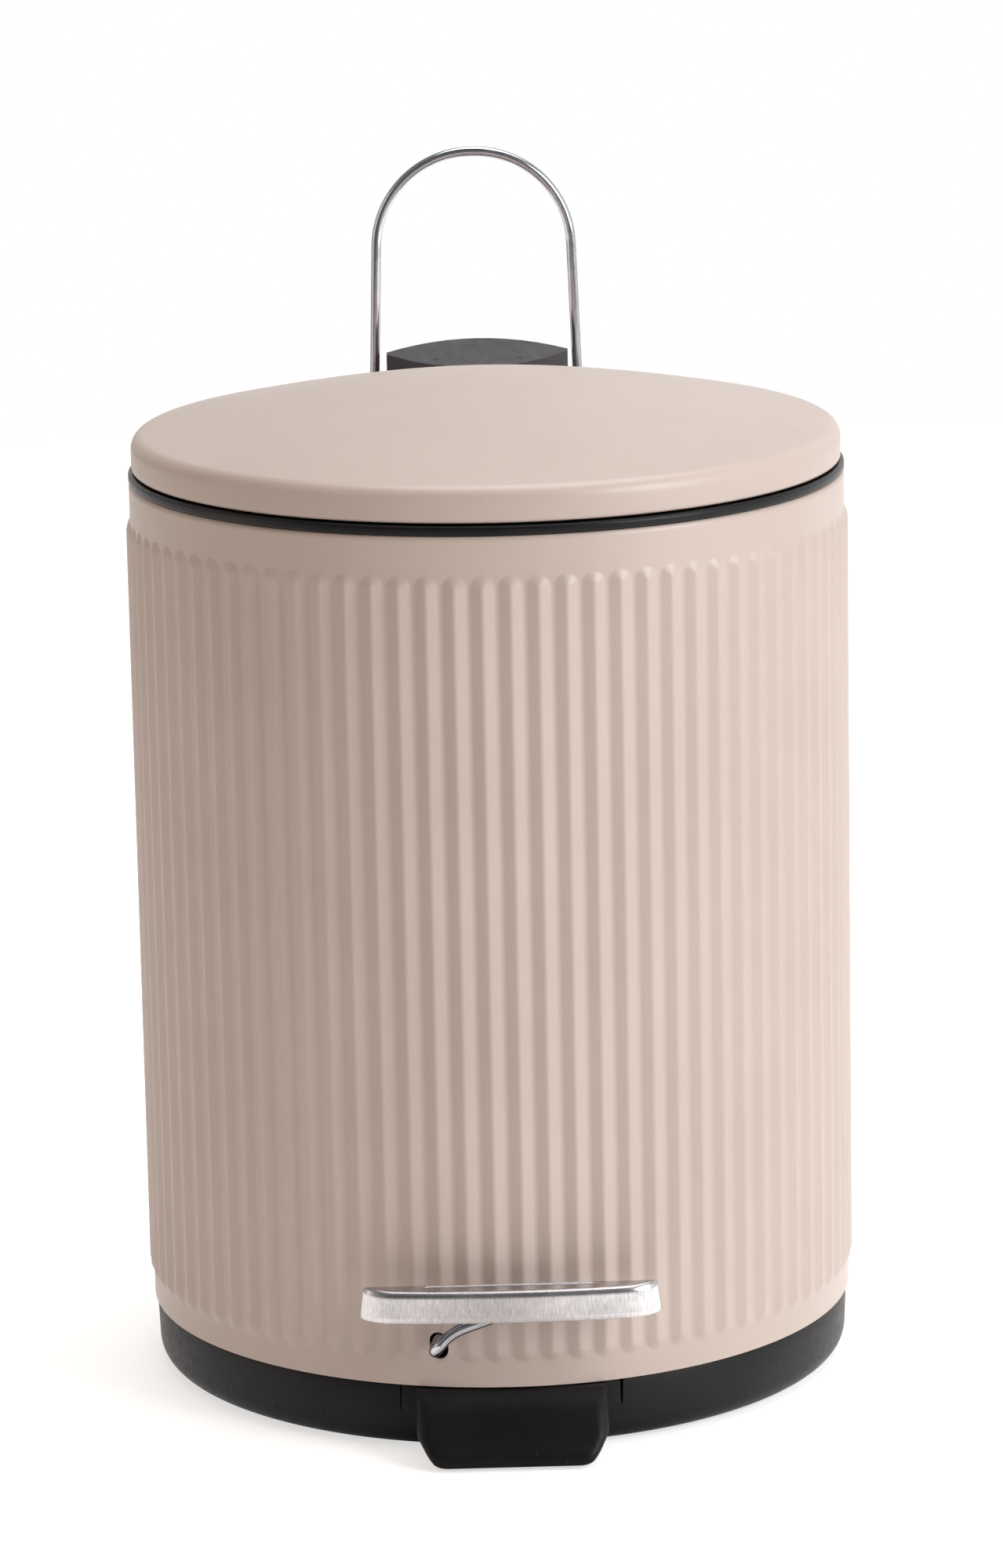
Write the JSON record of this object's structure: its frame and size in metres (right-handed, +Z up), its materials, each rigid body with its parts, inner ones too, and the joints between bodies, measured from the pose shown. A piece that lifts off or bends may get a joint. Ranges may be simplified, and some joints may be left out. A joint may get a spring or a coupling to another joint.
{
  "type": "pedal bin",
  "caption": "Round pedal bin with a fluted steel body, domed lid, rear hinge hood, lift-out bucket and wire carry handle.",
  "frame": {"origin": "on the floor, on the vertical axis of the round body", "axes": "+Z up, -Y towards the pedal at the front, +X to the right as seen from the front"},
  "size_m": [0.2048, 0.2383, 0.3366],
  "materials": {
    "powder_coat": "satin powder coat",
    "black_plastic": "satin moulded",
    "bucket_plastic": "moulded",
    "brushed_steel": "brushed",
    "bright_wire": "bright drawn wire",
    "zinc_steel": "bright zinc",
    "pad_foam": "foam"
  },
  "bodies": {
    "bin_body": {"outer_shell": "powder_coat", "base_tray": "black_plastic", "foot_pad_1": "pad_foam", "foot_pad_2": "pad_foam", "foot_pad_3": "pad_foam", "foot_pad_4": "pad_foam", "lever_cap_left": "black_plastic", "lever_cap_right": "black_plastic", "rim_ring": "black_plastic", "hinge_bracket": "black_plastic", "backing_plate": "zinc_steel", "bracket_screw_left": "zinc_steel", "bracket_screw_right": "zinc_steel", "hinge_pin": "zinc_steel"},
    "lid": {"lid_shell": "powder_coat", "lift_plate": "zinc_steel", "hinge_hood": "black_plastic", "lid_screw_left": "zinc_steel", "lid_screw_right": "zinc_steel"},
    "pedal": {"pedal_lever": "bright_wire", "pedal_plate": "brushed_steel", "plate_clip": "zinc_steel"},
    "push_rod": {"push_rod": "bright_wire"},
    "bucket": {"bucket": "bucket_plastic"},
    "bucket_bail": {"bucket_bail": "bright_wire"},
    "carry_handle": {"carry_handle": "bright_wire"}
  },
  "joints": [
    {"name": "lid_hinge", "type": "hinge", "parent": "bin_body", "child": "lid", "pos_m": [0, 0.107, 0.266], "axis": [-1, 0, 0], "range_deg": [0, 78]},
    {"name": "pedal_hinge", "type": "hinge", "parent": "bin_body", "child": "pedal", "pos_m": [0, -0.07, 0.0335], "axis": [1, 0, 0], "range_deg": [0, 7.75]},
    {"name": "push_rod_slide", "type": "slide", "parent": "bin_body", "child": "push_rod", "axis": [0, 0, 1], "range_m": [0, 0.0214]},
    {"name": "bucket_lift", "type": "slide", "parent": "bin_body", "child": "bucket", "axis": [0, 0, 1], "range_m": [0, 0.004]},
    {"name": "bucket_bail_hinge", "type": "hinge", "parent": "bucket", "child": "bucket_bail", "pos_m": [0, 0, 0.26165], "axis": [-1, 0, 0], "range_deg": [0, 3.5]},
    {"name": "carry_handle_hinge", "type": "hinge", "parent": "bin_body", "child": "carry_handle", "pos_m": [0, 0.1155, 0.247], "axis": [-1, 0, 0], "range_deg": [0, 180]}
  ],
  "couplings": [
    {"joint": "pedal_hinge", "follows": "lid_hinge", "ratio": 0.09925},
    {"joint": "push_rod_slide", "follows": "lid_hinge", "m_per_rad": 0.015717}
  ]
}
